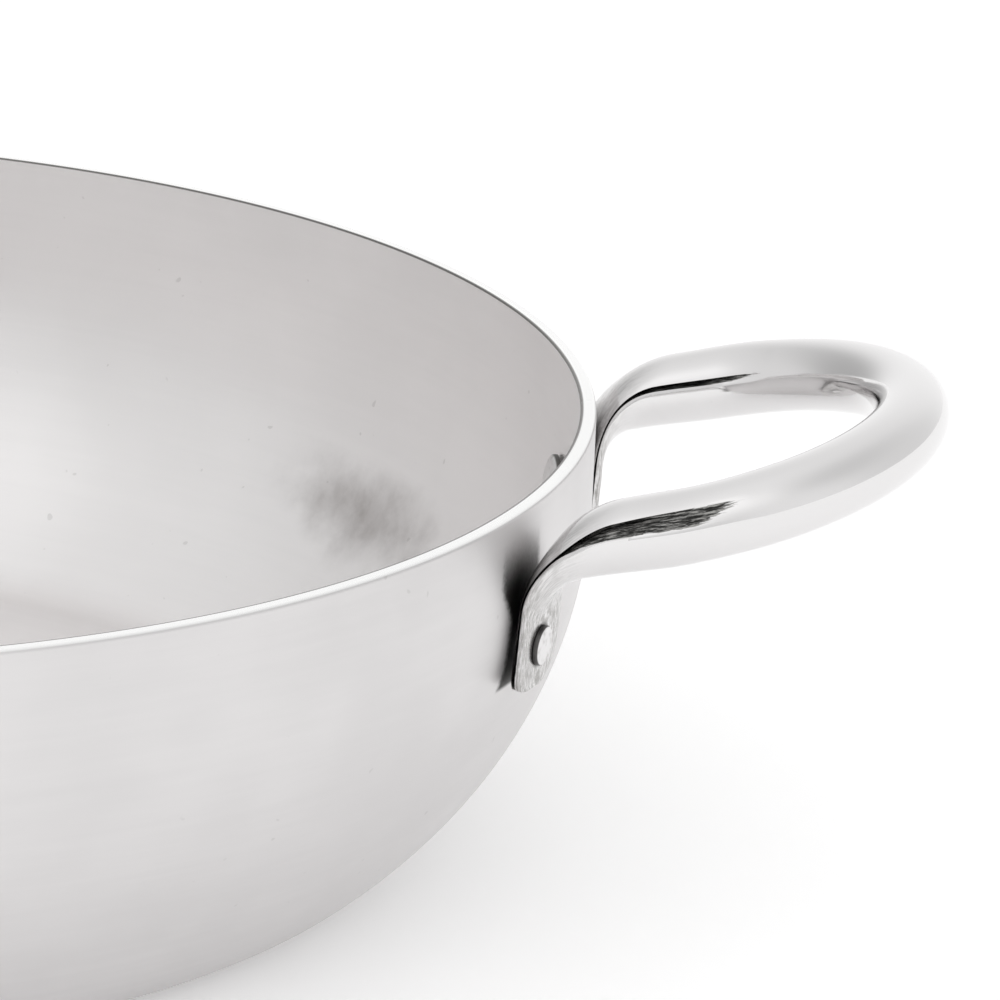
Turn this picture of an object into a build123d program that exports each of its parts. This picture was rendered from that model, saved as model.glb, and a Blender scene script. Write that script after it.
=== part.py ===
"""Kadai: a spun aluminium bowl with two riveted loop handles of bent steel tube.

Millimetres, +Z up. The origin is the middle of the flat base, and the handles lie along X.
"""
from build123d import *
import math
import os

# Bowl: outside sizes of the spun sheet
rim_diameter = 300.0
bowl_height = 72.5
sheet = 2.6
straight_wall = 14.0          # height of the upright band below the rim
base_inset = 31.7             # how far the wall closes in from the rim to the base
base_inner_corner = 16.0      # inside radius between floor and wall
rim_bevel = 0.7               # outer edge of the cut rim

# Handle: one tube bent to a loop, its two ends pressed flat and folded down
tube_diameter = 11.8
tube_wall = 1.1
branch_spacing = 81.2         # between the middle lines of the two branches
straight_reach = 15.8         # from the rim to where the loop starts to curve
bow_reach = 34.5              # from there to the end of the loop, on the middle line
root_drop = 6.1               # middle line of the tube below the rim, where it crosses the wall
loop_tilt = 14.2              # degrees, rise of the loop from the horizontal

# Pressed end of the tube
tab_width = 14.8
tab_thickness = 2.4
tab_length = 6.7              # from the rivet down to the end
tab_lean = 4.0                # degrees off the upright; the wall leans in more, so the end stands off
tab_inner_round = 7.0         # bottom corner on the side of the handle's middle
tab_outer_round = 2.0         # bottom corner on the other side
fold_outer_radius = 19.0      # over the back of the fold
fold_inner_radius = 8.0       # in the crook of the fold
fold_pinch = 0.7              # how far the underside of the tube is pressed up where the fold ends
crease_depth = 2.0            # how far the sides of the tube are pressed in
crease_width = 3.0            # between the crease's two lips
seam_width = 0.35             # the same along the tab, where the two layers meet
seam_depth = 1.2

# Rivet: one through each tab
rivet_drop = 21.9             # below the rim
rivet_shift = 1.5             # from the tab's middle line towards its outer edge
shank_diameter = 5.0
outer_head_diameter = 6.4
outer_head_height = 0.9
inner_head_diameter = 11.6
inner_head_height = 1.8
outer_head_bevel = 0.4
inner_head_bevel = 0.9

# Clearances, and one overrun for all cuts
tab_gap = 0.5                 # between the wall and the back of the tab
hole_play = 0.05              # round the shank
head_gap = 0.05               # under each head
overrun = 10.0

# Shares of the sizes they follow
join_share = 0.36             # of the bow's reach, where the tube is round again
square_share = 0.4            # power that makes the pressed section nearly a rectangle
widening_share = 1.3          # of the fold, over which the tube widens to the tab
seam_rise_share = 0.2         # of the half height, above the middle of the tab
crease_rise_share = 0.42      # the same where the tube is round
crease_fade_share = 0.8       # of the opening stretch, over which the crease runs out
pinch_fade_share = 0.6        # the same for the pinched underside
bore_start_share = 0.75       # of the fold, where the bore has closed
fold_middle_share = 0.5       # of the fold, from where the layers part into the crease

OVER_STEPS = 7
UNDER_STEPS = 13
TAB_STEPS = 2
FOLD_STEPS = 6
OPEN_STEPS = 6
BOW_STEPS = 6

rim_radius = rim_diameter / 2
half_spacing = branch_spacing / 2
tube_radius = tube_diameter / 2

# The wall's arc starts upright below the straight band and ends on the base
arc_height = bowl_height - straight_wall
arc_radius = (base_inset ** 2 + arc_height ** 2) / (2 * base_inset)
arc_middle = rim_radius - arc_radius

# The rivet's place on the wall, front end of the right handle, and the wall's slant there
rivet_height = bowl_height - rivet_drop
slant = math.asin(max(0, arc_height - rivet_height) / arc_radius)
wall_radius = arc_middle + arc_radius * math.cos(slant)

# The rivet stands square to the tab: X across the tab, Y down along it, Z out of the wall
tilt = math.radians(loop_tilt)
lean = math.radians(tab_lean)
tab_offset = tab_gap + tab_thickness / 2
rivet_angle = math.asin(half_spacing / (wall_radius + tab_offset))
outward = Vector(math.cos(rivet_angle), -math.sin(rivet_angle), 0)
sideways = Vector(-math.sin(rivet_angle), -math.cos(rivet_angle), 0)
tab_up = Vector(math.sin(lean), 0, math.cos(lean))
wall_point = outward * wall_radius + Vector(0, 0, rivet_height)
rivet_plane = Plane(origin=wall_point, x_dir=sideways, z_dir=tab_up.cross(sideways))
LOW = (Align.CENTER, Align.CENTER, Align.MIN)


def wall_body(inset):
    """Solid of revolution below the outer surface drawn in by inset, from its floor to the rim."""
    radius = arc_radius - inset
    turn = math.asin((arc_height - inset) / radius)
    corner = (arc_middle + radius * math.cos(turn), inset)
    middle = (arc_middle + radius * math.cos(turn / 2), arc_height - radius * math.sin(turn / 2))
    side = rim_radius - inset
    top = bowl_height + (overrun if inset else 0)
    outline = (
        Line((0, inset), corner)
        + ThreePointArc(corner, middle, (side, arc_height))
        + Line((side, arc_height), (side, top))
        + Line((side, top), (0, top))
        + Line((0, top), (0, inset))
    )
    section = make_face(outline)
    section = fillet(section.vertices().sort_by_distance(corner)[0], base_inner_corner + sheet - inset)
    if not inset:
        section = chamfer(section.vertices().sort_by_distance((side, top))[0], rim_bevel)
    return revolve(Plane.XZ * section, Axis.Z)


def at_four_ends(piece):
    """The piece at the right front, right back, left front and left back end."""
    right = [piece, mirror(piece, Plane.XZ)]
    return right + [mirror(one, Plane.YZ) for one in right]


def make_bowl():
    """The shell, with a hole for each rivet."""
    shell = wall_body(0) - wall_body(sheet)
    hole = rivet_plane * Cylinder(shank_diameter / 2 + hole_play, 2 * overrun)
    for cut in at_four_ends(hole):
        shell -= cut
    return shell


def make_rivet():
    """One turned solid: shank, flat outer head on the tab and wider inner head on the wall."""
    outer_seat = tab_gap + tab_thickness + head_gap
    bulge = (inner_head_diameter / 2) ** 2 / (2 * (arc_radius - sheet))
    tipped = inner_head_diameter / 2 * math.sin(abs(slant - lean))
    inner_seat = sheet + bulge + tipped + head_gap
    outer_head = Cylinder(outer_head_diameter / 2, outer_head_height, align=LOW)
    outer_head = chamfer(outer_head.edges().group_by(Axis.Z)[-1], outer_head_bevel)
    outer_head = Pos(0, 0, outer_seat) * outer_head
    inner_head = Cylinder(inner_head_diameter / 2, inner_head_height, align=LOW)
    inner_head = chamfer(inner_head.edges().group_by(Axis.Z)[0], inner_head_bevel)
    inner_head = Pos(0, 0, -inner_seat - inner_head_height) * inner_head
    shank = Pos(0, 0, -inner_seat) * Cylinder(shank_diameter / 2, inner_seat + outer_seat, align=LOW)
    return rivet_plane * (outer_head + shank + inner_head)


# Side view of the front branch, in the upright plane through its middle line. The line under the tube
# and the line over it come down from the loop, turn by fold_angle and run on along the tab.
tab_out = Vector(math.cos(lean), 0, -math.sin(lean))
tube_along = Vector(math.cos(tilt), 0, math.sin(tilt))
tube_up = Vector(-math.sin(tilt), 0, math.cos(tilt))
fold_angle = math.pi / 2 - lean - tilt
tab_centre = wall_point + rivet_plane.z_dir * tab_offset
root = Vector(rim_radius, 0, bowl_height - root_drop)
bow_start = rim_radius + straight_reach
join_point = root + tube_along * ((straight_reach + bow_reach * join_share) / math.cos(tilt))


def meet(point, along, other_point, other_along):
    """Where two lines of the side view cross."""
    normal = other_along.cross(Vector(0, 1, 0))
    return point + along * ((other_point - point).dot(normal) / along.dot(normal))


class FoldedLine:
    """The line under the tube, side 1, or over it, side -1, as it folds down along the tab."""

    def __init__(self, side, radius, pinch):
        self.on_tab = Vector(tab_centre.X, 0, tab_centre.Z) + tab_out * (side * tab_thickness / 2)
        self.pinch = pinch
        self.on_tube = root - tube_up * (side * tube_radius - pinch)
        corner = meet(self.on_tab, tab_up, self.on_tube, tube_along)
        self.start = corner - tab_up * (radius * math.tan(fold_angle / 2))
        self.centre = self.start + tab_out * radius

    def below_fold(self, share):
        """From below the tab's end, share 0, up to where the fold starts, share 1."""
        end = self.on_tab - tab_up * (tab_length + overrun)
        return end + (self.start - end) * share

    def on_fold(self, share):
        """Round the fold, from share 0 on the tab to share 1 on the tube."""
        return self.centre + (self.start - self.centre).rotate(Axis.Y, math.degrees(fold_angle) * share)

    def beyond_fold(self, share):
        """From the end of the fold, share 0, to the square cut where the tube is round, share 1."""
        start = self.on_fold(1)
        end = meet(self.on_tube, tube_along, join_point, tube_up)
        return start + (end - start) * share - tube_up * (self.pinch * ease(share / pinch_fade_share))


under_line = FoldedLine(1, fold_inner_radius, fold_pinch)
over_line = FoldedLine(-1, fold_outer_radius, 0)


def ease(share):
    """Smooth step from 0 to 1."""
    share = min(max(share, 0), 1)
    return share * share * (3 - 2 * share)


def branch_side(turn):
    """How far the middle line is from the XZ plane at a turn of the bow, and the way out of the loop."""
    along, across = math.sin(turn) / bow_reach, -math.cos(turn) / half_spacing
    way_out = Vector(along * math.cos(tilt), across, along * math.sin(tilt))
    return half_spacing * math.cos(turn), way_out.normalized()


def spread(start, end, steps):
    """Evenly spaced values from start to end, both included."""
    return [start + (end - start) * step / steps for step in range(steps + 1)]


def outline(half_width, half_height, power, crease_height, lip_gap, depth):
    """Closed section of the tube: two curved layers, and between them a crease on each side."""

    def width_at(height):
        return half_width * (1 - abs(height / half_height) ** (2 / power)) ** (power / 2)

    def angle_at(height):
        return math.copysign(math.asin(abs(height / half_height) ** (1 / power)), height)

    def curve(angle):
        cosine, sine = math.cos(angle), math.sin(angle)
        across = half_width * math.copysign(abs(cosine) ** power, cosine)
        return across, half_height * math.copysign(abs(sine) ** power, sine)

    over = angle_at(crease_height + lip_gap / 2)
    under = angle_at(crease_height - lip_gap / 2)
    floor = width_at(crease_height) - depth
    over_layer = [curve(angle) for angle in spread(over, math.pi - over, OVER_STEPS)]
    under_layer = [curve(angle) for angle in spread(math.pi - under, 2 * math.pi + under, UNDER_STEPS)]
    return over_layer + [(-floor, crease_height)] + under_layer + [(floor, crease_height)]


def pressed_section(under, over, stage, bored):
    """Face across the tube at a stage: 0 on the tab, 1 where the fold ends, 2 where the tube is round."""
    middle = (under + over) / 2
    half_height = (over - under).length / 2
    opened = ease((half_height - tab_thickness / 2) / (tube_radius - tab_thickness / 2))
    half_width = tab_width / 2 + (tube_radius - tab_width / 2) * ease(stage / widening_share)
    power = square_share + (1 - square_share) * opened
    depth = seam_depth + (crease_depth - seam_depth) * ease(stage)
    depth *= 1 - ease((stage - 1) / crease_fade_share)
    opening = ease((stage - fold_middle_share) / fold_middle_share)
    lip_gap = seam_width + (crease_width - seam_width) * opening
    rise = crease_rise_share - seam_rise_share
    crease_height = half_height * (seam_rise_share + rise * ease(stage - fold_middle_share))
    if bored:
        half_width -= tube_wall + depth
        half_height -= tube_wall
        depth = 0
        power = 1
    side, way_out = branch_side(math.asin(max(0, middle.X - bow_start) / bow_reach))
    twist = math.degrees(rivet_angle) * (1 - ease(stage))
    across = way_out.rotate(Axis.Z, -twist)
    up = (over - under).normalized().rotate(Axis.Z, -twist)
    shift = Vector(0, -side, 0) - sideways * (rivet_shift * (1 - ease(stage)))
    shape = (half_width, half_height, power, crease_height, lip_gap, depth)
    return place(middle + shift, across, up, shape)


def round_section(turn, radius):
    """Face across the round tube at a turn of the bow, a quarter turn in its middle."""
    side, way_out = branch_side(turn)
    reach = straight_reach + bow_reach * math.sin(turn)
    middle = root + tube_along * (reach / math.cos(tilt)) - Vector(0, side, 0)
    shape = (radius, radius, 1, radius * crease_rise_share, crease_width, 0)
    return place(middle, way_out, tube_up, shape)


def place(middle, across, up, shape):
    """The section's outline as a face, from its middle and the ways across and up."""
    points = [middle + across * width + up * height for width, height in outline(*shape)]
    return make_face(Polyline(*points, close=True))


def half_tube(bored):
    """One half of the handle, from the tab to the middle of the bow, or the bore inside it."""
    sections = []
    first = 0
    if bored:
        first = math.ceil(bore_start_share * FOLD_STEPS)
    else:
        for share in spread(0, 1, TAB_STEPS)[:-1]:
            points = under_line.below_fold(share), over_line.below_fold(share)
            sections.append(pressed_section(*points, 0, bored))
    for share in spread(0, 1, FOLD_STEPS)[first:]:
        points = under_line.on_fold(share), over_line.on_fold(share)
        sections.append(pressed_section(*points, share, bored))
    for share in spread(0, 1, OPEN_STEPS)[1:]:
        points = under_line.beyond_fold(share), over_line.beyond_fold(share)
        sections.append(pressed_section(*points, 1 + share, bored))
    radius = tube_radius - (tube_wall if bored else 0)
    join_turn = math.asin(join_share)
    for turn in spread(join_turn, math.pi / 2, BOW_STEPS)[1:]:
        sections.append(round_section(turn, radius))
    return loft(sections, ruled=True)


def tab_waste():
    """What is ground off below and beside the tab's rounded end; on the rivet's plane Y points down."""
    kept = Rectangle(tab_width + 2 * hole_play, 2 * tab_length)
    end_corners = kept.vertices().group_by(Axis.Y)[-1].sort_by(Axis.X)
    kept = fillet(end_corners[-1], tab_outer_round)
    inner_corner = kept.vertices().sort_by_distance((-tab_width, tab_length))[0]
    kept = fillet(inner_corner, min(tab_inner_round, tab_length))
    low_side = (Align.CENTER, Align.MIN)
    waste = Rectangle(tab_width + 2 * overrun, tab_length + 2 * overrun, align=low_side) - kept
    return rivet_plane * Pos(-rivet_shift, 0, 0) * extrude(waste, overrun, both=True)


def make_handle():
    """The right handle: two equal halves that meet in the middle of the bow, and a hole in each tab."""
    half = half_tube(False) - half_tube(True) - tab_waste()
    half -= rivet_plane * Cylinder(shank_diameter / 2 + hole_play, 2 * overrun)
    return half + mirror(half, Plane.XZ)


def main():
    os.makedirs("parts", exist_ok=True)
    parts = {"bowl": make_bowl(), "handle_right": make_handle()}
    parts["handle_left"] = mirror(parts["handle_right"], Plane.YZ)
    names = ("rivet_right_front", "rivet_right_back", "rivet_left_front", "rivet_left_back")
    parts.update(zip(names, at_four_ends(make_rivet())))
    for name, part in parts.items():
        export_step(part, f"parts/{name}.step")


if __name__ == "__main__":
    main()
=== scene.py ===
"""Kadai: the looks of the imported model, a spun aluminium bowl with two riveted handles of steel tube.

Metres, +Z up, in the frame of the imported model. Sizes are given in millimetres times MM.
"""
import math

import bmesh
import bpy
from mathutils import Matrix, Vector


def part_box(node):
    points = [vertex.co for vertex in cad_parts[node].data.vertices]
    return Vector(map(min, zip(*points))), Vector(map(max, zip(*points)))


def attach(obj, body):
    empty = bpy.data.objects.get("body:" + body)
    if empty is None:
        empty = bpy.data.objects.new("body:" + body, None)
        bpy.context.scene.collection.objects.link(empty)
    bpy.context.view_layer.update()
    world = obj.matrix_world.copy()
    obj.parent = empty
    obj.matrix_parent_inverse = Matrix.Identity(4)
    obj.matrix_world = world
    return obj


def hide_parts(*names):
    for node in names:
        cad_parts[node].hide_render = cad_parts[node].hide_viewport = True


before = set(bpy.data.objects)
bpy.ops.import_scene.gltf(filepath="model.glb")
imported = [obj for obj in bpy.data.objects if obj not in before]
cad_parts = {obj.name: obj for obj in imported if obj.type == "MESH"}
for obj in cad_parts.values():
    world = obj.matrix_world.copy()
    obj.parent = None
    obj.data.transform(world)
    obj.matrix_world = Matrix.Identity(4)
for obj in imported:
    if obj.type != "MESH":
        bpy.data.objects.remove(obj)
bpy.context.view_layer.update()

MM = 0.001
BODY = "root"

# Bowl
BOWL_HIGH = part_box("bowl")[1]
RIM_RADIUS = BOWL_HIGH.x
BOWL_HEIGHT = BOWL_HIGH.z
SHEET = 2.6 * MM
STRAIGHT_WALL = 14 * MM
BASE_INSET = 31.7 * MM
BASE_INNER_CORNER = 16 * MM
RIM_ROUNDING = 0.7 * MM
RIM_INNER_BEVEL = 0.22 * MM

# Handle tube
TUBE_RADIUS = 5.9 * MM
BRANCH_SPACING = 81.2 * MM
STRAIGHT_REACH = 15.8 * MM
BOW_REACH = 34.5 * MM
ROOT_DROP = 6.1 * MM
LOOP_TILT = math.radians(14.2)

# Pressed ends of the tube
TAB_WIDTH = 14.8 * MM
TAB_THICKNESS = 2.4 * MM
TAB_LENGTH = 6.7 * MM
TAB_LEAN = math.radians(4)
TAB_INNER_ROUND = 6.6 * MM
TAB_OUTER_ROUND = 2 * MM
FOLD_OUTER_RADIUS = 19 * MM
FOLD_INNER_RADIUS = 8 * MM
FOLD_PINCH = 0.7 * MM
CREASE_DEPTH = 2 * MM
SEAM_WIDTH = 0.55 * MM
SEAM_DEPTH = 1.2 * MM
TAB_GAP = 0.5 * MM

# Height of each crease as a share of half the tube's height, and the gap between its lips
OUTER_CREASE = (0.42, 3 * MM)
INNER_CREASE = (0.3, 1.02 * MM)
SEAM_RISE_SHARE = 0.36

# Shape of a crease: how steeply it drops at its crisp lip, and the powers of that lip and of the soft one
LIP_STEEPNESS = 4
CRISP_LIP_POWER = 0.6
SOFT_LIP_POWER = 0.9

# The pressed section's stage: 0 on the tab, 1 where the fold ends, 2 where the tube is round
FOLD_MIDDLE_STAGE = 0.5
FULL_WIDTH_STAGE = 1.3
CREASE_FADE_STAGES = 1.0
PINCH_FADE_STAGES = 0.6

# Share of the bow's reach from which the tube is round
JOIN_SHARE = 0.36

# Power of the section's curve on the tab, where an ellipse has 1
TAB_POWER = 0.4

# Painted shade in the crease, by stage and by the way down from its crisp lip
CREASE_SHADE_END_STAGE = 1.47
CREASE_SHADE_TIP_STAGES = 0.26
CREASE_SHADE_FADE_STAGES = 0.28
CREASE_SHADE_LIP_SHARE = 0.6
CREASE_SHADE_LIP_LOSS = 0.45
INNER_CREASE_SHADE_RISE = 2
INNER_CREASE_SHADE_START = 0.3

# Rivets
RIVET_DROP = 21.9 * MM
RIVET_SHIFT = 1.5 * MM
SHANK_RADIUS = 2.5 * MM
OUTER_HEAD_RADIUS = 3.2 * MM
OUTER_HEAD_HEIGHT = 0.9 * MM
INNER_HEAD_RADIUS = 5.8 * MM
INNER_HEAD_HEIGHT = 1.8 * MM
HEAD_GAP = 0.05 * MM
HEAD_ROUNDING = 0.45 * MM
HEAD_CROWN = 0.1 * MM
HEAD_CROWN_SHARES = (0.6, 0.3)
# Share of the heads' rounding that gets painted shade down their sides
SHADED_ROUNDING_SHARE = 0.35

# Steps of the meshes, and the turns in degrees from which an edge is sharp
TURN_STEPS = 384
FLOOR_STEPS = 8
CORNER_STEPS = 12
WALL_STEPS = 40
RIM_STEPS = 6
RIVET_TURN_STEPS = 64
DOME_STEPS = 10
HEAD_STEPS = 6
OVER_STEPS = 36
CREASE_STEPS = 9
UNDER_STEPS = 52
END_STEPS = 12
TAB_STEPS = 10
FOLD_STEPS = 22
OPEN_STEPS = 26
BOW_STEPS = 40
LATHE_SHARP = 25
HANDLE_SHARP = 40

# Colours of the bowl; the outside's are the same metal painted darker, as painted shade
INSIDE_LIGHT = (0.88, 0.865, 0.862, 1)
INSIDE_DARK = (0.845, 0.831, 0.828, 1)
OUTSIDE_SHADED_LIGHT = (0.72, 0.706, 0.706, 1)
OUTSIDE_SHADED_DARK = (0.68, 0.667, 0.667, 1)
SPECK = (0.45, 0.44, 0.43, 1)
CUT_RIM = (0.94, 0.94, 0.935, 1)
RIM_LINE = (0.18, 0.175, 0.17, 1)
# Painted dark reflection inside the bowl
DARK_REFLECTION = (0.23, 0.205, 0.195, 1)
# Painted shade, with some soot, on the wall behind the tabs
SHADE_AND_SOOT = (0.035, 0.032, 0.03, 1)

# Colours of the handles and rivets
TUBE = (0.77, 0.76, 0.76, 1)
TUBE_WORN = (0.36, 0.35, 0.34, 1)
# Painted shade in the crease, with lighter streaks in it
CREASE_SHADE_DARK = (0.025, 0.025, 0.024, 1)
CREASE_SHADE_LIGHT = (0.42, 0.415, 0.40, 1)
# Painted shade round and down the sides of the rivet heads
RIVET_SHADE = (0.05, 0.048, 0.045, 1)
RIVET_FACE = (0.78, 0.77, 0.77, 1)
RIVET_PITS = (0.55, 0.54, 0.53, 1)
WHITE = (1, 1, 1, 1)

# Noise scales, per metre of the frame
MARK_SCALE = 2600
BAND_SCALE = 420
CLOUD_SCALE = 22
SPECK_SCALE = 420
REFLECTION_EDGE_SCALE = 90
REFLECTION_STREAK_SCALE = 240
SHADE_SOOT_EDGE_SCALE = 1400
TUBE_GRAIN_SCALE = 900
RIVET_GRAIN_SCALE = 700

# Values of the noises between which a mark comes up
MIDDLE_RANGE = (0.3, 0.7)
TONE_RANGE = (0.35, 0.65)
SPECK_RANGE = (0.76, 0.80)
WEAR_RANGE = (0.45, 0.72)
CREASE_SHADE_RANGE = (0.35, 0.6)
CREASE_SHADE_LIGHT_RANGE = (0.44, 0.66)
PIT_RANGE = (0.5, 0.8)

# Bowl finish: a brighter, smoother cut rim with a dark line along its inner edge
MARK_SWAY = 10 * MM
CLOUD_SHARE = 0.75
SPECK_STRENGTH = 0.3
OUTSIDE_RANGE = (0, 0.01)
CUT_DEPTHS = (0.32 * MM, 0.16 * MM)
RIM_LINE_REACH = (0.62 * MM, 0.36 * MM)
BOWL_ROUGHNESS = (0.38, 0.44)
CUT_SMOOTHER = 0.15
BOWL_ANISOTROPY = 0.35
BAND_BUMP_SHARE = 0.6
BOWL_BUMP_STRENGTH = 0.22
BOWL_BUMP = 0.02 * MM

# Painted dark reflection inside the bowl
REFLECTION_PLACE = Vector((103.9, 92.7, 27.4)) * MM
REFLECTION_HALF_LENGTH = 17 * MM
REFLECTION_HALF_HEIGHT = 6.5 * MM
REFLECTION_RAGGEDNESS = 1.8
REFLECTION_RANGE = (1.75, -0.2)
REFLECTION_STRENGTHS = (0.5, 0.7)

# Painted shade, with some soot, behind a tab: heights from the rivet's middle, and widths to each side of
# the tab's middle line
SHADE_SOOT_HALF_WIDTHS = (7.2 * MM, 5.0 * MM)
SHADE_SOOT_SHIFT = 2.8 * MM
SHADE_SOOT_SHIFT_HEIGHTS = (4 * MM, 12 * MM)
SHADE_SOOT_WIDER_ABOVE = 0.8 * MM
SHADE_SOOT_ABOVE_HEIGHTS = (4 * MM, 11 * MM)
SHADE_SOOT_WIDER_BELOW = 1.1 * MM
SHADE_SOOT_BELOW_HEIGHTS = (-3 * MM, -6.5 * MM)
SHADE_SOOT_TOP_HEIGHTS = (19 * MM, 9 * MM)
SHADE_SOOT_END_HEIGHTS = (-6.9 * MM, -5.9 * MM)
SHADE_SOOT_RAGGEDNESS = 1.6 * MM

# Handle finish: polished tube, dull tab, a rough crease that gets painted shade
STREAK_STRETCH = (90, 34, 1)
STREAK_SCALE = 3.6
GRAIN_WEAR_SHARE = 0.2
CREASE_SHADE_RAGGEDNESS = 2.0
TUBE_ROUGHNESS = 0.10
TAB_ROUGHER = 0.16
CREASE_ROUGHNESS = 0.42
TUBE_GRAIN_SHARE = 0.03
TUBE_BUMP_STRENGTH = 0.35
TUBE_BUMP = 0.06 * MM
# Painted shade in a ring on the tab round the outer rivet head
SHADE_RING_WIDTH = 0.7 * MM
SHADE_RING_STRENGTH = 0.85

# Rivet finish, and the painted shade down the heads' sides
RIVET_ROUGHNESS = (0.28, 0.42)
RIVET_SHADE_STRENGTH = 0.93
RIVET_BUMP_STRENGTH = 0.3
RIVET_BUMP = 0.05 * MM

# Floor
FLOOR_RADIUS = 6
FLOOR_SEGMENTS = 64
FLOOR_DROP = 0.2 * MM
FLOOR_ROUGHNESS = 0.9
FLOOR_LIFT = 0.19

# The studio's soft light from each side: azimuth from +X, elevation, both in degrees, and level
SKY = (
    (-90, 12, 0.78),
    (-30, 12, 0.96),
    (30, 12, 0.82),
    (90, 12, 1.08),
    (150, 12, 0.50),
    (210, 12, 0.86),
    (-90, 50, 1.30),
    (0, 50, 0.68),
    (90, 50, 0.90),
    (180, 50, 0.84),
    (0, 90, 1.02),
)
SKY_FOCUS = 9

# Camera
CAMERA_PLACE = Vector((0.24176, -1.12580, 0.41034))
CAMERA_RIGHT = Vector((0.993352, 0.106837, 0.042877))
CAMERA_UP = Vector((-0.072357, 0.289746, 0.954365))
CAMERA_LENS = 268.04
CAMERA_SENSOR = 36


def spread(start, end, steps):
    """Evenly spaced values from start to end, both included."""
    return [start + (end - start) * step / steps for step in range(steps + 1)]


def ease(share):
    """Smooth step from 0 to 1."""
    share = min(max(share, 0), 1)
    return share * share * (3 - 2 * share)


def arc(centre, radius, start, end, steps):
    """Points of an arc in a plane, angles in radians."""
    turns = spread(start, end, steps)
    return [(centre[0] + radius * math.cos(turn), centre[1] + radius * math.sin(turn)) for turn in turns]


def finish_mesh(name, mesh, sharp_degrees):
    """Smooth faces with sharp edges where the surface turns by more than sharp_degrees."""
    work = bmesh.new()
    work.from_mesh(mesh)
    bmesh.ops.recalc_face_normals(work, faces=work.faces)
    for face in work.faces:
        face.smooth = True
    for edge in work.edges:
        if len(edge.link_faces) == 2 and edge.calc_face_angle() > math.radians(sharp_degrees):
            edge.smooth = False
    work.to_mesh(mesh)
    work.free()
    piece = bpy.data.objects.new(name, mesh)
    bpy.context.scene.collection.objects.link(piece)
    return piece


def lathe(name, outline, steps):
    """Closed surface of revolution about Z. The outline runs from the axis to the axis."""
    verts = [(0, 0, outline[0][1])]
    for radius, height in outline[1:-1]:
        for turn in range(steps):
            angle = 2 * math.pi * turn / steps
            verts.append((radius * math.cos(angle), radius * math.sin(angle), height))
    verts.append((0, 0, outline[-1][1]))
    rings = len(outline) - 2
    faces = []
    for turn in range(steps):
        after = (turn + 1) % steps
        faces.append((0, 1 + after, 1 + turn))
        for ring in range(rings - 1):
            low, high = 1 + ring * steps, 1 + (ring + 1) * steps
            faces.append((low + turn, low + after, high + after, high + turn))
        last = 1 + (rings - 1) * steps
        faces.append((last + turn, last + after, len(verts) - 1))
    mesh = bpy.data.meshes.new(name)
    mesh.from_pydata(verts, [], faces)
    return finish_mesh(name, mesh, LATHE_SHARP)


# Bowl: the wall's arc starts upright below the straight band and ends on the base
ARC_HEIGHT = BOWL_HEIGHT - STRAIGHT_WALL
ARC_RADIUS = (BASE_INSET ** 2 + ARC_HEIGHT ** 2) / (2 * BASE_INSET)
ARC_MIDDLE = RIM_RADIUS - ARC_RADIUS


def wall_line(inset):
    """The bowl's surface drawn in by inset, from the middle of the floor up to the rim."""
    radius = ARC_RADIUS - inset
    corner = BASE_INNER_CORNER + SHEET - inset
    rise = ARC_HEIGHT - inset - corner
    corner_centre = (ARC_MIDDLE + math.sqrt((radius - corner) ** 2 - rise ** 2), inset + corner)
    slope = -math.asin(rise / (radius - corner))
    floor = [(corner_centre[0] * share, inset) for share in spread(0, 1, FLOOR_STEPS)[:-1]]
    bottom = arc(corner_centre, corner, -math.pi / 2, slope, CORNER_STEPS)
    wall = arc((ARC_MIDDLE, ARC_HEIGHT), radius, slope, 0, WALL_STEPS)[1:]
    return floor + bottom + wall


def make_bowl():
    """The whole shell as one closed surface: outside, cut rim, inside."""
    outer = wall_line(0)
    inner = wall_line(SHEET)
    rim_centre = (RIM_RADIUS - RIM_ROUNDING, BOWL_HEIGHT - RIM_ROUNDING)
    rim = arc(rim_centre, RIM_ROUNDING, 0, math.pi / 2, RIM_STEPS)
    inner_radius = RIM_RADIUS - SHEET
    bevel = [
        (inner_radius + RIM_INNER_BEVEL, BOWL_HEIGHT),
        (inner_radius, BOWL_HEIGHT - RIM_INNER_BEVEL),
    ]
    return lathe("kadai_bowl", outer + rim + bevel + inner[::-1], TURN_STEPS)


# Place of the right handle's front rivet, which stands square to the tab
RIVET_HEIGHT = BOWL_HEIGHT - RIVET_DROP
SLANT = math.asin((ARC_HEIGHT - RIVET_HEIGHT) / ARC_RADIUS)
WALL_RADIUS = ARC_MIDDLE + ARC_RADIUS * math.cos(SLANT)
TAB_OFFSET = TAB_GAP + TAB_THICKNESS / 2
HALF_SPACING = BRANCH_SPACING / 2
RIVET_ANGLE = math.asin(HALF_SPACING / (WALL_RADIUS + TAB_OFFSET))
SIDEWAYS = Vector((-math.sin(RIVET_ANGLE), -math.cos(RIVET_ANGLE), 0))
TAB_UP = Vector((math.sin(TAB_LEAN), 0, math.cos(TAB_LEAN)))
TAB_OUT = Vector((math.cos(TAB_LEAN), 0, -math.sin(TAB_LEAN)))
RIVET_OUT = TAB_UP.cross(SIDEWAYS).normalized()
WALL_POINT = Vector((
    WALL_RADIUS * math.cos(RIVET_ANGLE),
    -WALL_RADIUS * math.sin(RIVET_ANGLE),
    RIVET_HEIGHT,
))

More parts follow.
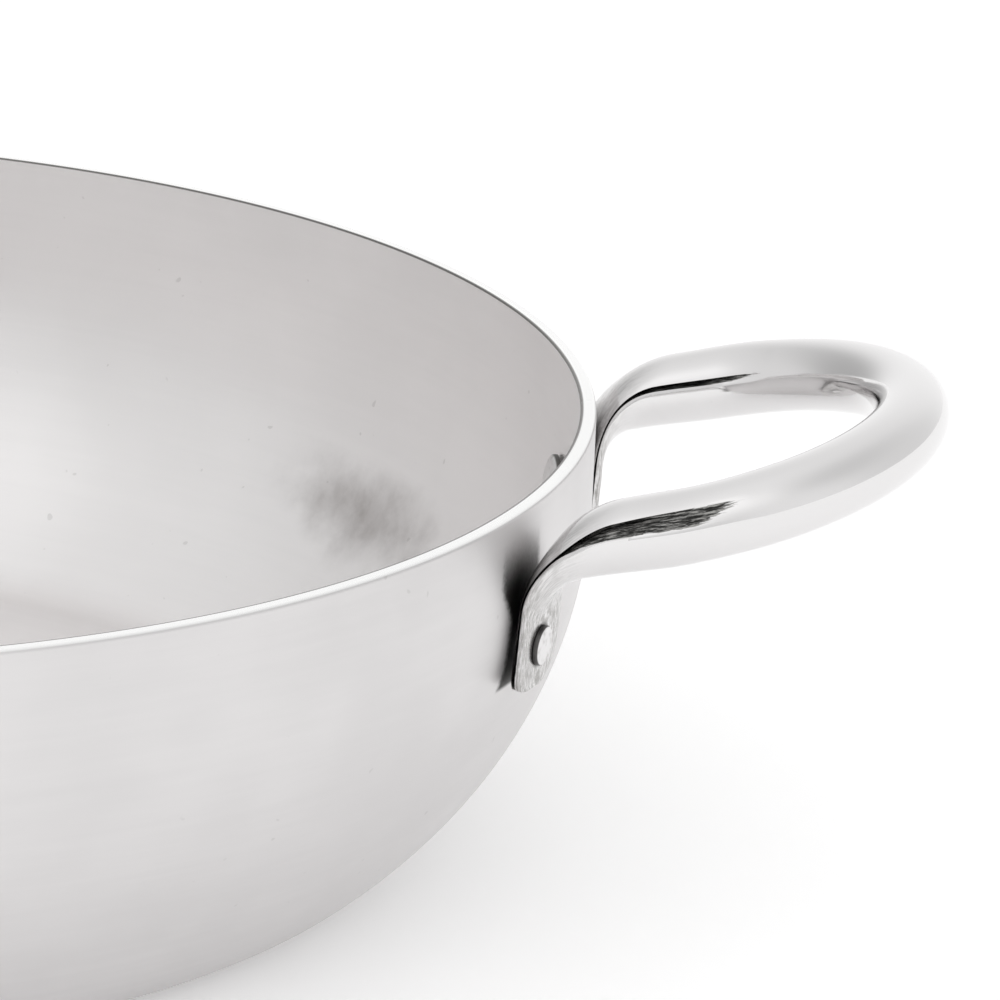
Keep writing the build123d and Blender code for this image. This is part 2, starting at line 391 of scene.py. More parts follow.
# Side view of the front branch, in the upright plane through its middle line
TUBE_ALONG = Vector((math.cos(LOOP_TILT), 0, math.sin(LOOP_TILT)))
TUBE_UP = Vector((-math.sin(LOOP_TILT), 0, math.cos(LOOP_TILT)))
FOLD_ANGLE = math.pi / 2 - TAB_LEAN - LOOP_TILT
ROOT = Vector((RIM_RADIUS, 0, BOWL_HEIGHT - ROOT_DROP))
BOW_START = RIM_RADIUS + STRAIGHT_REACH
JOIN_REACH = STRAIGHT_REACH + BOW_REACH * JOIN_SHARE
JOIN_POINT = ROOT + TUBE_ALONG * (JOIN_REACH / math.cos(LOOP_TILT))


def meet(point, along, other_point, other_along):
    """Where two lines of the side view cross."""
    normal = other_along.cross(Vector((0, 1, 0)))
    return point + along * ((other_point - point).dot(normal) / along.dot(normal))


class FoldedLine:
    """The line under the tube, side 1, or over it, side -1, as it folds down along the tab."""

    def __init__(self, side, radius, pinch):
        middle = WALL_POINT + RIVET_OUT * TAB_OFFSET
        self.on_tab = Vector((middle.x, 0, middle.z)) + TAB_OUT * (side * TAB_THICKNESS / 2)
        self.pinch = pinch
        self.on_tube = ROOT - TUBE_UP * (side * TUBE_RADIUS - pinch)
        corner = meet(self.on_tab, TAB_UP, self.on_tube, TUBE_ALONG)
        self.start = corner - TAB_UP * (radius * math.tan(FOLD_ANGLE / 2))
        self.centre = self.start + TAB_OUT * radius

    def below_fold(self, down):
        """On the tab, from the fold's start, down 0, to the end of the tab, down 1."""
        end = self.on_tab - TAB_UP * TAB_LENGTH
        return self.start + (end - self.start) * down

    def on_fold(self, share):
        """Round the fold, from share 0 on the tab to share 1 on the tube."""
        return self.centre + Matrix.Rotation(FOLD_ANGLE * share, 3, "Y") @ (self.start - self.centre)

    def beyond_fold(self, share):
        """From the end of the fold, share 0, to where the tube is round, share 1."""
        start = self.on_fold(1)
        end = meet(self.on_tube, TUBE_ALONG, JOIN_POINT, TUBE_UP)
        pinched = self.pinch * ease(share / PINCH_FADE_STAGES)
        return start + (end - start) * share - TUBE_UP * pinched


UNDER_LINE = FoldedLine(1, FOLD_INNER_RADIUS, FOLD_PINCH)
OVER_LINE = FoldedLine(-1, FOLD_OUTER_RADIUS, 0)


def branch_side(turn):
    """How far the middle line is from the XZ plane at a turn of the bow, and the way out of the loop."""
    along, across = math.sin(turn) / BOW_REACH, -math.cos(turn) / HALF_SPACING
    way_out = Vector((along * math.cos(LOOP_TILT), across, along * math.sin(LOOP_TILT)))
    return HALF_SPACING * math.cos(turn), way_out.normalized()


def tube_outline(half_width, half_height, power, outer, inner):
    """Closed section: the over layer, the inner crease, the under layer, the outer crease.

    Each crease is its height, the gap between its lips and its depth.
    """

    def width_at(height):
        share = min(abs(height / half_height), 1)
        return half_width * (1 - share ** (2 / power)) ** (power / 2)

    def angle_at(height):
        return math.copysign(math.asin(min(abs(height / half_height), 1) ** (1 / power)), height)

    def curve(angle):
        cosine, sine = math.cos(angle), math.sin(angle)
        across = half_width * math.copysign(abs(cosine) ** power, cosine)
        return across, half_height * math.copysign(abs(sine) ** power, sine)

    def crease(crease_height, lip_gap, depth):
        """From the crisp lip of the over layer down to the soft one of the under layer."""
        points = []
        for share in spread(0, 1, CREASE_STEPS)[1:-1]:
            height = crease_height + lip_gap * (0.5 - share)
            sunk = min(1, LIP_STEEPNESS * share) ** CRISP_LIP_POWER * (1 - share) ** SOFT_LIP_POWER
            points.append((width_at(height) - depth * sunk, height))
        return points

    over_ends = [angle_at(height + gap / 2) for height, gap, _ in (outer, inner)]
    under_ends = [angle_at(height - gap / 2) for height, gap, _ in (outer, inner)]
    over_layer = [curve(angle) for angle in spread(over_ends[0], math.pi - over_ends[1], OVER_STEPS)]
    under_angles = spread(math.pi - under_ends[1], 2 * math.pi + under_ends[0], UNDER_STEPS)
    under_layer = [curve(angle) for angle in under_angles]
    left = [(-width, height) for width, height in crease(*inner)]
    return over_layer + left + under_layer + crease(*outer)[::-1]


def pressed_ring(under, over, stage, left=None):
    """Ring of points across the pressed tube; on the tab, left is the way still to go to its end."""
    middle = (under + over) / 2
    half_height = (over - under).length / 2
    opened = ease((half_height - TAB_THICKNESS / 2) / (TUBE_RADIUS - TAB_THICKNESS / 2))
    half_width = TAB_WIDTH / 2 + (TUBE_RADIUS - TAB_WIDTH / 2) * ease(stage / FULL_WIDTH_STAGE)
    power = TAB_POWER + (1 - TAB_POWER) * opened
    depth = SEAM_DEPTH + (CREASE_DEPTH - SEAM_DEPTH) * ease(stage)
    depth *= 1 - ease((stage - 1) / CREASE_FADE_STAGES)
    opening = ease((stage - FOLD_MIDDLE_STAGE) / (1 - FOLD_MIDDLE_STAGE))
    creases = []
    for rise_share, gap in (OUTER_CREASE, INNER_CREASE):
        rise = SEAM_RISE_SHARE + (rise_share - SEAM_RISE_SHARE) * ease(stage - FOLD_MIDDLE_STAGE)
        creases.append((half_height * rise, SEAM_WIDTH + (gap - SEAM_WIDTH) * opening, depth))
    points = tube_outline(half_width, half_height, power, *creases)
    if left is not None:
        points = [(rounded_end(width, left), height) for width, height in points]
    side, way_out = branch_side(math.asin(max(0, middle.x - BOW_START) / BOW_REACH))
    twist = Matrix.Rotation(-RIVET_ANGLE * (1 - ease(stage)), 3, "Z")
    across = twist @ way_out
    up = twist @ (over - under).normalized()
    middle = middle + Vector((0, -side, 0)) - SIDEWAYS * (RIVET_SHIFT * (1 - ease(stage)))
    return [middle + across * width + up * height for width, height in points], stage


def rounded_end(width, left):
    """The tab's width drawn in to its rounded corners, left being the way still to go to its end."""
    half = TAB_WIDTH / 2
    radius = TAB_OUTER_ROUND if width > 0 else TAB_INNER_ROUND
    into = max(0, radius - left)
    shrunk = half - radius + math.sqrt(max(0, radius ** 2 - into ** 2))
    return width * shrunk / half


def round_ring(turn):
    """Ring of points across the round tube at a turn of the bow, a quarter turn in its middle."""
    side, way_out = branch_side(turn)
    reach = STRAIGHT_REACH + BOW_REACH * math.sin(turn)
    middle = ROOT + TUBE_ALONG * (reach / math.cos(LOOP_TILT)) - Vector((0, side, 0))
    creases = [(TUBE_RADIUS * rise_share, gap, 0) for rise_share, gap in (OUTER_CREASE, INNER_CREASE)]
    points = tube_outline(TUBE_RADIUS, TUBE_RADIUS, 1, *creases)
    return [middle + way_out * width + TUBE_UP * height for width, height in points], 2


def branch_rings():
    """All rings from the tab's end to the middle of the bow."""
    rings = []
    tab_length = (UNDER_LINE.start - UNDER_LINE.below_fold(1)).length
    for share in spread(0, 1, END_STEPS)[:-1]:
        left = TAB_INNER_ROUND * (1 - math.cos(share * math.pi / 2))
        down = 1 - left / tab_length
        rings.append(pressed_ring(UNDER_LINE.below_fold(down), OVER_LINE.below_fold(down), 0, left))
    top = 1 - TAB_INNER_ROUND / tab_length
    for down in spread(top, 0, TAB_STEPS)[:-1]:
        left = (1 - down) * tab_length
        rings.append(pressed_ring(UNDER_LINE.below_fold(down), OVER_LINE.below_fold(down), 0, left))
    for share in spread(0, 1, FOLD_STEPS):
        rings.append(pressed_ring(UNDER_LINE.on_fold(share), OVER_LINE.on_fold(share), share))
    for share in spread(0, 1, OPEN_STEPS)[1:]:
        rings.append(pressed_ring(UNDER_LINE.beyond_fold(share), OVER_LINE.beyond_fold(share), 1 + share))
    for turn in spread(math.asin(JOIN_SHARE), math.pi / 2, BOW_STEPS)[1:]:
        rings.append(round_ring(turn))
    return rings


def make_handle(name, side):
    """A handle as one closed surface, with lengths along and around it as its UV map."""
    half = branch_rings()
    count = len(half[0][0])
    back = [([Vector((p.x, -p.y, p.z)) for p in ring], stage) for ring, stage in half[-2::-1]]
    rings = half + back
    verts = [Vector((p.x * side, p.y, p.z)) for ring, _ in rings for p in ring]
    faces = []
    for ring in range(len(rings) - 1):
        for step in range(count):
            after = (step + 1) % count
            low, high = ring * count, (ring + 1) * count
            faces.append((low + step, low + after, high + after, high + step))
    faces.extend(end_cap(0, count))
    faces.extend(end_cap((len(rings) - 1) * count, count))
    mesh = bpy.data.meshes.new(name)
    mesh.from_pydata(verts, [], faces)
    pressed = mesh.attributes.new("pressed", "FLOAT", "POINT")
    # The "scale" attribute holds how much painted shade the crease gets
    scale = mesh.attributes.new("scale", "FLOAT", "POINT")
    for index in range(len(verts)):
        stage = rings[index // count][1]
        pressed.data[index].value = 1 - ease(stage)
        scale.data[index].value = crease_shade_share(index % count, count, stage)
    along, lengths = 0, []
    for before, ring in zip([rings[0]] + rings, rings):
        along += (ring[0][0] - before[0][0]).length
        lengths.append(along)
    uv = mesh.uv_layers.new(name="lengths")
    for polygon in mesh.polygons:
        steps = [mesh.loops[loop].vertex_index % count for loop in polygon.loop_indices]
        wraps = max(steps) - min(steps) > count / 2
        for loop, step in zip(polygon.loop_indices, steps):
            around = step + (count if wraps and step == 0 else 0)
            uv.data[loop].uv = (lengths[mesh.loops[loop].vertex_index // count], around / count)
    return finish_mesh(name, mesh, HANDLE_SHARP)


def crease_shade_share(step, count, stage):
    """How much painted shade the tube gets: most in the crease, running out to a tip."""
    left_start = OVER_STEPS + 1
    right_start = count - CREASE_STEPS + 1
    if left_start <= step < left_start + CREASE_STEPS - 1:
        share = (step - left_start + 1) / CREASE_STEPS
    elif step >= right_start:
        share = (count - step) / CREASE_STEPS
    else:
        return 0
    run_out = CREASE_SHADE_END_STAGE + CREASE_SHADE_TIP_STAGES * (1 - share)
    at_lip = ease((share - CREASE_SHADE_LIP_SHARE) / (1 - CREASE_SHADE_LIP_SHARE))
    dark = 1 - CREASE_SHADE_LIP_LOSS * at_lip * ease(stage - FOLD_MIDDLE_STAGE)
    if step < right_start:
        dark *= ease(INNER_CREASE_SHADE_RISE * (stage - FOLD_MIDDLE_STAGE) + INNER_CREASE_SHADE_START)
    return dark * (1 - ease((stage - run_out) / CREASE_SHADE_FADE_STAGES))


def end_cap(first, count):
    """Faces that close the tab's end, from the over layer across to the under layer."""
    over = list(range(OVER_STEPS + 1))
    left = list(range(OVER_STEPS + 1, OVER_STEPS + CREASE_STEPS))
    right = list(range(count - CREASE_STEPS + 1, count))
    under = list(range(left[-1] + 1, right[0]))[::-1]
    ladder = [under[round(step * UNDER_STEPS / OVER_STEPS)] for step in over]
    faces = []
    for step in range(OVER_STEPS):
        low, high = ladder[step], ladder[step + 1]
        between = [u for u in under if high < u < low]
        faces.append([over[step], over[step + 1], high] + between[::-1] + [low])
    faces.append([over[-1]] + left + [under[-1]])
    faces.append([under[0]] + right + [over[0]])
    return [[first + index for index in face] for face in faces]


def make_rivet(name, side, back):
    """A rivet turned about Z, then stood on the wall: flat outer head, shank, wider domed inner head."""
    bulge = INNER_HEAD_RADIUS ** 2 / (2 * (ARC_RADIUS - SHEET))
    tipped = INNER_HEAD_RADIUS * math.sin(abs(SLANT - TAB_LEAN))
    inner_seat = -(SHEET + bulge + tipped + HEAD_GAP)
    outer_seat = TAB_GAP + TAB_THICKNESS + HEAD_GAP
    outer_end = outer_seat + OUTER_HEAD_HEIGHT
    inner_dome = []
    for angle in spread(0, math.pi / 2, DOME_STEPS)[1:]:
        raised = (INNER_HEAD_HEIGHT - HEAD_ROUNDING) * math.cos(angle)
        inner_dome.append((INNER_HEAD_RADIUS * math.sin(angle), inner_seat - HEAD_ROUNDING - raised))
    round_centre = (OUTER_HEAD_RADIUS - HEAD_ROUNDING, outer_end - HEAD_ROUNDING - HEAD_CROWN)
    outer_round = arc(round_centre, HEAD_ROUNDING, 0, math.pi / 2, HEAD_STEPS)
    outline = [(0, inner_seat - INNER_HEAD_HEIGHT)] + inner_dome
    outline += [(INNER_HEAD_RADIUS, inner_seat), (SHANK_RADIUS, inner_seat)]
    outline += [(SHANK_RADIUS, outer_seat), (OUTER_HEAD_RADIUS, outer_seat)] + outer_round
    for share in HEAD_CROWN_SHARES:
        outline.append((OUTER_HEAD_RADIUS * share, outer_end - HEAD_CROWN * share))
    outline.append((0, outer_end))
    piece = lathe(name, outline, RIVET_TURN_STEPS)
    # The "edge" attribute marks the heads' sides, which get painted shade
    layer = piece.data.attributes.new("edge", "FLOAT", "POINT")
    shaded_width = HEAD_ROUNDING * SHADED_ROUNDING_SHARE
    for index, vertex in enumerate(piece.data.vertices):
        radius, height = vertex.co.xy.length, vertex.co.z
        outer_side = height > outer_seat - HEAD_GAP and radius > OUTER_HEAD_RADIUS - shaded_width
        inner_side = height < inner_seat + HEAD_GAP and radius > INNER_HEAD_RADIUS - shaded_width
        layer.data[index].value = 1 if outer_side or inner_side else 0
    down = RIVET_OUT.cross(SIDEWAYS)
    stand = Matrix((SIDEWAYS, down, RIVET_OUT)).transposed().to_4x4()
    stand.translation = WALL_POINT
    flip = Matrix.Diagonal((side, -1 if back else 1, 1, 1))
    piece.data.transform(flip @ stand)
    if (flip @ stand).determinant() < 0:
        piece.data.flip_normals()
    return piece


class Nodes:
    """Short calls for building one material's node tree."""

    def __init__(self, name):
        self.material = bpy.data.materials.new(name)
        self.material.use_nodes = True
        self.tree = self.material.node_tree
        self.shader = self.tree.nodes["Principled BSDF"]

    def add(self, kind, **settings):
        node = self.tree.nodes.new(kind)
        for key, value in settings.items():
            setattr(node, key, value)
        return node

    def link(self, source, target):
        self.tree.links.new(source, target)

    def math(self, operation, first, second=None):
        node = self.add("ShaderNodeMath", operation=operation)
        self.feed(node.inputs[0], first)
        self.feed(node.inputs[1], second)
        return node.outputs[0]

    def plus(self, first, second):
        return self.math("ADD", first, second)

    def minus(self, first, second):
        return self.math("SUBTRACT", first, second)

    def times(self, first, second):
        return self.math("MULTIPLY", first, second)

    def feed(self, socket, value):
        if value is None:
            return
        if isinstance(value, bpy.types.NodeSocket):
            self.link(value, socket)
        else:
            socket.default_value = value

    def noise(self, vector, scale, detail, roughness=0.5):
        node = self.add("ShaderNodeTexNoise")
        node.inputs["Scale"].default_value = scale
        node.inputs["Detail"].default_value = detail
        node.inputs["Roughness"].default_value = roughness
        self.link(vector, node.inputs["Vector"])
        return node.outputs["Fac"]

    def centred(self, noise, size):
        """The noise about zero, size being the full way from its lowest to its highest."""
        return self.times(self.minus(noise, 0.5), size)

    def attribute(self, name):
        return self.add("ShaderNodeAttribute", attribute_name=name).outputs["Fac"]

    def ramp(self, value, low, high, to_low=0.0, to_high=1.0):
        """Smooth step from to_low to to_high while the value goes from low to high, either way round."""
        node = self.add("ShaderNodeMapRange", interpolation_type="SMOOTHSTEP")
        node.inputs["From Min"].default_value = low
        node.inputs["From Max"].default_value = high
        node.inputs["To Min"].default_value = to_low
        node.inputs["To Max"].default_value = to_high
        self.link(value, node.inputs["Value"])
        return node.outputs["Result"]

    def blend(self, factor, first, second):
        node = self.add("ShaderNodeMix", data_type="RGBA")
        self.feed(node.inputs["Factor"], factor)
        self.feed(node.inputs["A"], first)
        self.feed(node.inputs["B"], second)
        return node.outputs["Result"]

    def vector(self, operation, first, second=None):
        node = self.add("ShaderNodeVectorMath", operation=operation)
        self.feed(node.inputs[0], first)
        self.feed(node.inputs[1], second)
        return node.outputs["Value" if operation in ("LENGTH", "DOT_PRODUCT") else "Vector"]

    def place(self):
        """Position in the frame, and the same folded into the quarter where X and Y are positive."""
        here = self.add("ShaderNodeNewGeometry").outputs["Position"]
        return here, self.vector("ABSOLUTE", here)

    def bump(self, height, strength, distance):
        node = self.add("ShaderNodeBump")
        node.inputs["Strength"].default_value = strength
        node.inputs["Distance"].default_value = distance
        self.link(height, node.inputs["Height"])
        self.link(node.outputs["Normal"], self.shader.inputs["Normal"])


def back_of(vector):
    """The front right rivet's vector for the back right one, in the quarter that place() folds into."""
    return Vector((vector.x, -vector.y, vector.z))


def spun_coordinates(nodes, place):
    """Distance from the Z axis, height, and coordinates for marks that run round the axis."""
    parts = nodes.add("ShaderNodeSeparateXYZ")
    nodes.link(place, parts.inputs[0])
    x, y, height = parts.outputs
    radius = nodes.math("SQRT", nodes.plus(nodes.times(x, x), nodes.times(y, y)))
    sine = nodes.math("SINE", nodes.math("ARCTAN2", y, x))
    joined = nodes.add("ShaderNodeCombineXYZ")
    nodes.link(radius, joined.inputs[0])
    nodes.link(nodes.times(sine, MARK_SWAY), joined.inputs[1])
    nodes.link(height, joined.inputs[2])
    return radius, height, joined.outputs[0]


def aluminium():
    """Satin spun aluminium: marks round the axis, clouding, specks, painted shade outside, a painted dark
    reflection inside, painted shade and some soot behind the tabs.
    """
    nodes = Nodes("spun_aluminium")
    shader = nodes.shader
    shader.inputs["Metallic"].default_value = 1
    shader.inputs["Anisotropic"].default_value = BOWL_ANISOTROPY
    place, folded = nodes.place()
    radius, height, spun = spun_coordinates(nodes, place)
    tangent = nodes.add("ShaderNodeTangent", direction_type="RADIAL", axis="Z")
    nodes.link(tangent.outputs[0], shader.inputs["Tangent"])
    marks = nodes.noise(spun, MARK_SCALE, detail=3)
    bands = nodes.noise(spun, BAND_SCALE, detail=4, roughness=0.7)
    clouds = nodes.noise(place, CLOUD_SCALE, detail=3)
    specks = nodes.ramp(nodes.noise(place, SPECK_SCALE, detail=1), *SPECK_RANGE)

    tone = nodes.plus(nodes.times(clouds, CLOUD_SHARE), nodes.times(bands, 1 - CLOUD_SHARE))
    dark_tone = nodes.ramp(tone, *TONE_RANGE)
    inner_colour = nodes.blend(dark_tone, INSIDE_LIGHT, INSIDE_DARK)
    # The outside gets darker copies of the inside's metal: painted shade
    shaded_outer_colour = nodes.blend(dark_tone, OUTSIDE_SHADED_LIGHT, OUTSIDE_SHADED_DARK)
    normal = nodes.add("ShaderNodeNewGeometry").outputs["True Normal"]
    level_place = nodes.vector("MULTIPLY", place, Vector((1, 1, 0)))
    outside = nodes.ramp(nodes.vector("DOT_PRODUCT", normal, level_place), *OUTSIDE_RANGE)
    colour = nodes.blend(outside, inner_colour, shaded_outer_colour)
    colour = nodes.blend(nodes.times(specks, SPECK_STRENGTH), colour, SPECK)

    cut = nodes.ramp(height, *[BOWL_HEIGHT - depth for depth in CUT_DEPTHS])
    colour = nodes.blend(cut, colour, CUT_RIM)
    inner_edge = nodes.ramp(radius, *[RIM_RADIUS - SHEET + reach for reach in RIM_LINE_REACH])
    colour = nodes.blend(nodes.times(cut, inner_edge), colour, RIM_LINE)

    # Painted shade, with some soot, on the outside behind the tabs
    shade_and_soot = nodes.times(shade_and_soot_share(nodes, folded, place), outside)
    colour = nodes.blend(shade_and_soot, colour, SHADE_AND_SOOT)
    # Painted dark reflection on the inside of the wall
    dark_reflection = nodes.times(dark_reflection_share(nodes, place), nodes.minus(1.0, outside))
    colour = nodes.blend(dark_reflection, colour, DARK_REFLECTION)
    nodes.link(colour, shader.inputs["Base Color"])
    satin = nodes.ramp(clouds, *MIDDLE_RANGE, *BOWL_ROUGHNESS)
    nodes.link(nodes.plus(satin, nodes.times(cut, -CUT_SMOOTHER)), shader.inputs["Roughness"])
    nodes.bump(nodes.plus(marks, nodes.times(bands, BAND_BUMP_SHARE)), BOWL_BUMP_STRENGTH, BOWL_BUMP)
    return nodes.material


def dark_reflection_share(nodes, place):
    """A streaky patch of painted dark reflection on the inside, long round the wall and low up it."""
    outward = Vector((REFLECTION_PLACE.x, REFLECTION_PLACE.y, 0)).normalized()
    round_wall = outward.cross(Vector((0, 0, 1)))
    steepness = math.asin((ARC_HEIGHT - REFLECTION_PLACE.z) / (ARC_RADIUS - SHEET))
    up_wall = outward * math.sin(steepness) + Vector((0, 0, math.cos(steepness)))
    offset = nodes.vector("SUBTRACT", place, REFLECTION_PLACE)
    along = nodes.vector("DOT_PRODUCT", offset, round_wall / REFLECTION_HALF_LENGTH)
    across = nodes.vector("DOT_PRODUCT", offset, up_wall / REFLECTION_HALF_HEIGHT)
    reach = nodes.math("SQRT", nodes.plus(nodes.times(along, along), nodes.times(across, across)))
    edge = nodes.noise(place, REFLECTION_EDGE_SCALE, detail=5, roughness=0.55)
    near = nodes.ramp(nodes.plus(reach, nodes.centred(edge, REFLECTION_RAGGEDNESS)), *REFLECTION_RANGE)
    streaks = nodes.noise(place, REFLECTION_STREAK_SCALE, detail=3, roughness=0.6)
    return nodes.times(near, nodes.ramp(streaks, *MIDDLE_RANGE, *REFLECTION_STRENGTHS))


def shade_and_soot_share(nodes, folded, place):
    """Painted shade, with some soot, on the wall behind a tab, from its end up to behind the fold, where
    it spreads wider.
    """
    offset = nodes.vector("SUBTRACT", folded, back_of(WALL_POINT))
    sideways = nodes.vector("DOT_PRODUCT", offset, back_of(SIDEWAYS))
    up = nodes.vector("DOT_PRODUCT", offset, Vector((0, 0, 1)))
    middle = nodes.times(nodes.ramp(up, *SHADE_SOOT_SHIFT_HEIGHTS), SHADE_SOOT_SHIFT)
    aside = nodes.math("ABSOLUTE", nodes.minus(sideways, middle))
    edge = nodes.noise(place, SHADE_SOOT_EDGE_SCALE, detail=3, roughness=0.7)
    ragged = nodes.centred(edge, SHADE_SOOT_RAGGEDNESS)
    below = nodes.times(nodes.ramp(up, *SHADE_SOOT_BELOW_HEIGHTS), SHADE_SOOT_WIDER_BELOW)
    above = nodes.times(nodes.ramp(up, *SHADE_SOOT_ABOVE_HEIGHTS), SHADE_SOOT_WIDER_ABOVE)
    past_width = nodes.minus(nodes.plus(aside, ragged), nodes.plus(above, below))
    near = nodes.ramp(past_width, *SHADE_SOOT_HALF_WIDTHS)
    below_top = nodes.ramp(nodes.plus(up, ragged), *SHADE_SOOT_TOP_HEIGHTS)
    above_end = nodes.ramp(up, *SHADE_SOOT_END_HEIGHTS)
    return nodes.times(nodes.times(near, below_top), above_end)


def steel():
    """Polished steel tube; the tab is dull and streaked, the crease gets painted shade, and the tab
    painted shade round each rivet head.
    """
    nodes = Nodes("handle_steel")
    shader = nodes.shader
    shader.inputs["Metallic"].default_value = 1
    lengths = nodes.add("ShaderNodeUVMap", uv_map="lengths").outputs[0]
    stretch = nodes.add("ShaderNodeMapping")
    stretch.inputs["Scale"].default_value = STREAK_STRETCH
    nodes.link(lengths, stretch.inputs["Vector"])
    streaks = nodes.noise(stretch.outputs[0], STREAK_SCALE, detail=4, roughness=0.7)
    place, folded = nodes.place()
    grain = nodes.noise(place, TUBE_GRAIN_SCALE, detail=4, roughness=0.6)
    # The "scale" attribute: painted shade in the crease
    scale = nodes.attribute("scale")
    pressed = nodes.attribute("pressed")

    wear = nodes.plus(streaks, nodes.times(grain, GRAIN_WEAR_SHARE))
    worn = nodes.times(pressed, nodes.ramp(wear, *WEAR_RANGE))
    colour = nodes.blend(worn, TUBE, TUBE_WORN)
    # Painted shade in the crease, with lighter streaks
    ragged = nodes.centred(streaks, CREASE_SHADE_RAGGEDNESS)
    in_crease_shade = nodes.ramp(nodes.plus(scale, ragged), *CREASE_SHADE_RANGE)
    dark = nodes.blend(nodes.ramp(streaks, *CREASE_SHADE_LIGHT_RANGE), CREASE_SHADE_DARK, CREASE_SHADE_LIGHT)
    colour = nodes.blend(in_crease_shade, colour, dark)
    # Painted shade in a ring on the tab round the outer rivet head
    offset = nodes.vector("SUBTRACT", folded, back_of(WALL_POINT))
    from_rivet = nodes.vector("LENGTH", nodes.vector("CROSS_PRODUCT", offset, back_of(RIVET_OUT)))
    round_head = nodes.ramp(from_rivet, OUTER_HEAD_RADIUS + SHADE_RING_WIDTH, OUTER_HEAD_RADIUS)
    ring = nodes.times(round_head, pressed)
    colour = nodes.blend(nodes.times(ring, SHADE_RING_STRENGTH), colour, RIVET_SHADE)
    nodes.link(colour, shader.inputs["Base Color"])

    smooth = nodes.plus(nodes.times(pressed, TAB_ROUGHER), TUBE_ROUGHNESS)
    rough = nodes.math("MAXIMUM", smooth, nodes.times(in_crease_shade, CREASE_ROUGHNESS))
    nodes.link(rough, shader.inputs["Roughness"])
    rough_grain = nodes.times(grain, nodes.plus(pressed, TUBE_GRAIN_SHARE))
    nodes.bump(rough_grain, TUBE_BUMP_STRENGTH, TUBE_BUMP)
    return nodes.material


def rivet_metal():
    """Aluminium rivet, flattened by the press: dull and slightly pitted, with painted shade down its
    sides.
    """
    nodes = Nodes("rivet_aluminium")
    shader = nodes.shader
    shader.inputs["Metallic"].default_value = 1
    place, _ = nodes.place()
    grain = nodes.noise(place, RIVET_GRAIN_SCALE, detail=3)
    nodes.link(nodes.ramp(grain, *MIDDLE_RANGE, *RIVET_ROUGHNESS), shader.inputs["Roughness"])
    face = nodes.blend(nodes.ramp(grain, *PIT_RANGE), RIVET_FACE, RIVET_PITS)
    # Painted shade down the heads' sides
    head_shade = nodes.times(nodes.attribute("edge"), RIVET_SHADE_STRENGTH)
    colour = nodes.blend(head_shade, face, RIVET_SHADE)
    nodes.link(colour, shader.inputs["Base Color"])
    nodes.bump(grain, RIVET_BUMP_STRENGTH, RIVET_BUMP)
    return nodes.material


def floor_paint():
    """Plain white floor, lifted where it is seen or mirrored, so that it keeps only the shadow."""
    nodes = Nodes("floor_white")
    shader = nodes.shader
    shader.inputs["Base Color"].default_value = WHITE
    shader.inputs["Roughness"].default_value = FLOOR_ROUGHNESS
    shader.inputs["Specular IOR Level"].default_value = 0
    shader.inputs["Emission Color"].default_value = WHITE
    rays = nodes.add("ShaderNodeLightPath").outputs
    mirrored = nodes.math("MAXIMUM", rays["Is Glossy Ray"], rays["Is Transmission Ray"])
    seen = nodes.math("MAXIMUM", rays["Is Camera Ray"], mirrored)
    nodes.link(nodes.times(seen, FLOOR_LIFT), shader.inputs["Emission Strength"])
    return nodes.material


def make_floor():
    """Round floor, just below the underside of the base."""
    mesh = bpy.data.meshes.new("floor")
    work = bmesh.new()
    bmesh.ops.create_circle(work, cap_ends=True, segments=FLOOR_SEGMENTS, radius=FLOOR_RADIUS)
    work.to_mesh(mesh)
    work.free()
    floor = bpy.data.objects.new("floor", mesh)
    bpy.context.scene.collection.objects.link(floor)
    floor.location.z = -FLOOR_DROP
    mesh.materials.append(floor_paint())


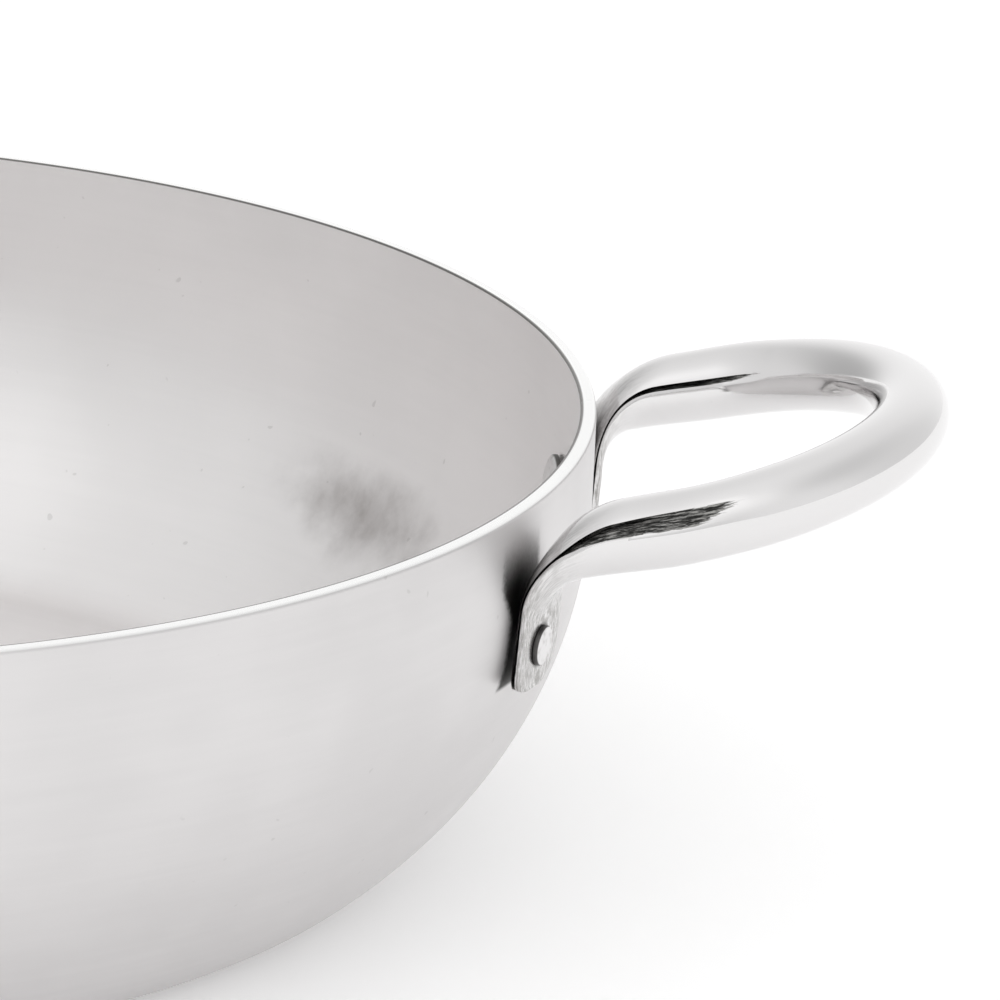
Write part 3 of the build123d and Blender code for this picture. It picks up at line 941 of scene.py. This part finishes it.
def make_world():
    """White studio, whose sides, as SKY lists them, run softly into each other."""
    world = bpy.data.worlds.new("studio")
    bpy.context.scene.world = world
    world.use_nodes = True
    tree = world.node_tree
    tree.nodes.clear()

    def math_node(operation, *values):
        node = tree.nodes.new("ShaderNodeMath")
        node.operation = operation
        for socket, value in zip(node.inputs, values):
            if isinstance(value, (int, float)):
                socket.default_value = value
            else:
                tree.links.new(value, socket)
        return node.outputs[0]

    way = tree.nodes.new("ShaderNodeTexCoord").outputs["Generated"]
    whole, light = 0, 0
    for azimuth, elevation, level in SKY:
        turn, rise = math.radians(azimuth), math.radians(elevation)
        side = (math.cos(rise) * math.cos(turn), math.cos(rise) * math.sin(turn), math.sin(rise))
        dot = tree.nodes.new("ShaderNodeVectorMath")
        dot.operation = "DOT_PRODUCT"
        dot.inputs[1].default_value = side
        tree.links.new(way, dot.inputs[0])
        share = math_node("EXPONENT", math_node("MULTIPLY", dot.outputs["Value"], SKY_FOCUS))
        whole = math_node("ADD", whole, share)
        light = math_node("MULTIPLY_ADD", share, level, light)
    studio = tree.nodes.new("ShaderNodeBackground")
    studio.inputs["Color"].default_value = WHITE
    tree.links.new(math_node("DIVIDE", light, whole), studio.inputs["Strength"])
    out = tree.nodes.new("ShaderNodeOutputWorld")
    tree.links.new(studio.outputs[0], out.inputs["Surface"])


def make_camera():
    """The photograph's view: a long lens, a little above the rim."""
    data = bpy.data.cameras.new("camera")
    data.lens = CAMERA_LENS
    data.sensor_width = CAMERA_SENSOR
    camera = bpy.data.objects.new("camera", data)
    bpy.context.scene.collection.objects.link(camera)
    back = CAMERA_RIGHT.cross(CAMERA_UP).normalized()
    turn = Matrix((CAMERA_RIGHT, CAMERA_UP, back)).transposed().to_4x4()
    camera.matrix_world = Matrix.Translation(CAMERA_PLACE) @ turn
    bpy.context.scene.camera = camera


def settle(piece, material, slot, *nodes):
    """The piece gets its material, rides on the only body and stands for its nodes."""
    piece.data.materials.append(material)
    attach(piece, BODY)
    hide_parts(*nodes)


def main():
    settle(make_bowl(), aluminium(), "spun_aluminium", "bowl")
    handle_material = steel()
    rivet_material = rivet_metal()
    for side_name, side in (("right", 1), ("left", -1)):
        handle = make_handle(f"kadai_handle_{side_name}", side)
        settle(handle, handle_material, "handle_steel", f"handle_{side_name}")
        for end_name, back in (("front", False), ("back", True)):
            rivet = make_rivet(f"kadai_rivet_{side_name}_{end_name}", side, back)
            settle(rivet, rivet_material, "rivet_aluminium", f"rivet_{side_name}_{end_name}")
    make_floor()
    make_world()
    make_camera()
    bpy.context.scene.view_settings.view_transform = "Standard"


main()
